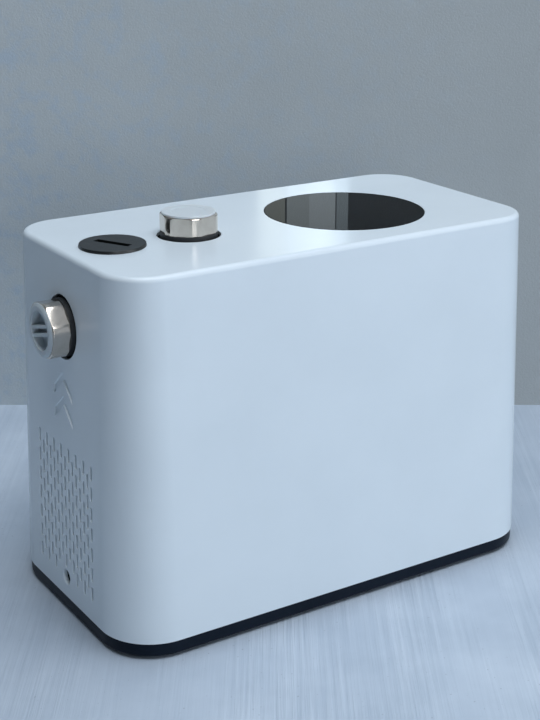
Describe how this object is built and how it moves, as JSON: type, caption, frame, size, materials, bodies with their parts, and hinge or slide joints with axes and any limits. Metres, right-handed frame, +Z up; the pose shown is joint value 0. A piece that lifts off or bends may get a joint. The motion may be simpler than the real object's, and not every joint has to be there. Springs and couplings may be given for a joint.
{
  "type": "booster pump",
  "caption": "Compact domestic booster pump in a rounded plastic housing on a dark base, with a round display, a top outlet, a side inlet and a priming cap.",
  "frame": {"origin": "middle of the resting face of the foot strip, on the floor", "axes": "+X along the length, away from the suction port; +Y from the front face to the back; +Z up"},
  "size_m": [0.3705, 0.1876, 0.2758],
  "materials": {
    "housing_white": "gloss",
    "base_dark": "satin",
    "rubber_grey": "matt",
    "rubber_black": "matt",
    "display_glass": "gloss",
    "circuit_board": "satin",
    "port_nickel": "satin",
    "plug_inlet_grey": "satin",
    "plug_outlet_grey": "gloss",
    "cap_grey": "satin",
    "manifold_black": "satin",
    "casing_composite": "matt",
    "cover_composite": "matt",
    "diffuser_white": "satin",
    "impeller_ivory": "satin",
    "stainless": "brushed",
    "zinc_steel": "plated",
    "bearing_steel": "ground",
    "seal_carbon": "satin",
    "seal_ceramic": "gloss",
    "valve_white": "satin",
    "brass_parts": "machined",
    "motor_aluminium": "cast",
    "lamination": "plain",
    "copper_wire": "enamelled",
    "magnet_dark": "plain",
    "tank_blue": "gloss",
    "case_black": "satin",
    "capacitor_black": "gloss",
    "gland_black": "satin"
  },
  "bodies": {
    "frame": {"housing_shell": "housing_white", "base_tray": "base_dark", "foot_strip": "rubber_grey", "case_screws": "zinc_steel", "display_glass": "display_glass", "display_board": "circuit_board", "inlet_socket": "port_nickel", "outlet_socket": "port_nickel", "inlet_grommet": "rubber_black", "outlet_grommet": "rubber_black", "pump_casing": "casing_composite", "manifold_seals": "rubber_black", "suction_cover": "cover_composite", "cover_seal": "rubber_black", "drain_plug": "brass_parts", "suction_plate": "cover_composite", "diffuser_1": "diffuser_white", "diffuser_2": "diffuser_white", "diffuser_3": "diffuser_white", "seal_seat": "seal_ceramic", "motor_flange": "motor_aluminium", "front_bearing": "bearing_steel", "motor_housing": "motor_aluminium", "stator_core": "lamination", "stator_windings": "copper_wire", "motor_end_shield": "motor_aluminium", "rear_bearing": "bearing_steel", "tie_rods": "zinc_steel", "rubber_mounts": "rubber_black", "port_manifold": "manifold_black", "manifold_screws": "zinc_steel", "pressure_sensor": "brass_parts", "valve_cage": "manifold_black", "valve_spring": "stainless", "tank_shell": "tank_blue", "tank_diaphragm": "rubber_black", "tank_air_valve": "brass_parts", "heat_sink": "motor_aluminium", "controller_case": "case_black", "control_board": "circuit_board", "link_capacitor": "capacitor_black", "power_module": "capacitor_black", "gland_body": "gland_black", "gland_locknut": "gland_black", "gland_nut": "gland_black", "gland_seal": "rubber_black"},
    "rotor": {"pump_shaft": "stainless", "impeller_1": "impeller_ivory", "impeller_2": "impeller_ivory", "impeller_3": "impeller_ivory", "impeller_nut": "stainless", "seal_head": "seal_carbon", "rotor_core": "lamination", "rotor_magnet": "magnet_dark"},
    "check_poppet": {"valve_poppet": "valve_white"},
    "float": {"flow_float": "valve_white"},
    "inlet_plug": {"inlet_plug": "plug_inlet_grey"},
    "outlet_plug": {"outlet_plug": "plug_outlet_grey"},
    "cap_ring": {"priming_cap_seal": "rubber_black"},
    "cap": {"priming_cap": "cap_grey"}
  },
  "joints": [
    {"name": "rotor_spin", "type": "hinge", "parent": "frame", "child": "rotor", "pos_m": [0, 0, 0.1], "axis": [1, 0, 0], "continuous": true},
    {"name": "inlet_plug_pull", "type": "slide", "parent": "frame", "child": "inlet_plug", "axis": [-1, 0, 0], "range_m": [0, 0.08]},
    {"name": "outlet_plug_lift", "type": "slide", "parent": "frame", "child": "outlet_plug", "axis": [0, 0, 1], "range_m": [0, 0.08]},
    {"name": "priming_cap_lift", "type": "slide", "parent": "frame", "child": "cap_ring", "axis": [0, 0, 1], "range_m": [0, 0.00924]},
    {"name": "priming_cap_turn", "type": "hinge", "parent": "cap_ring", "child": "cap", "pos_m": [-0.1303, -0.0043, 0.26], "axis": [0, 0, 1], "range_deg": [0, 1450]},
    {"name": "check_valve_lift", "type": "slide", "parent": "frame", "child": "check_poppet", "axis": [1, 0, 0], "range_m": [0, 0.008], "stiffness_N_per_m": 60, "springref_m": -0.005, "deforming": ["valve_spring"]},
    {"name": "float_lift", "type": "slide", "parent": "frame", "child": "float", "axis": [0, 0, 1], "range_m": [0, 0.008]}
  ],
  "couplings": [
    {"joint": "priming_cap_turn", "follows": "priming_cap_lift", "rad_per_m": 2721.2}
  ]
}
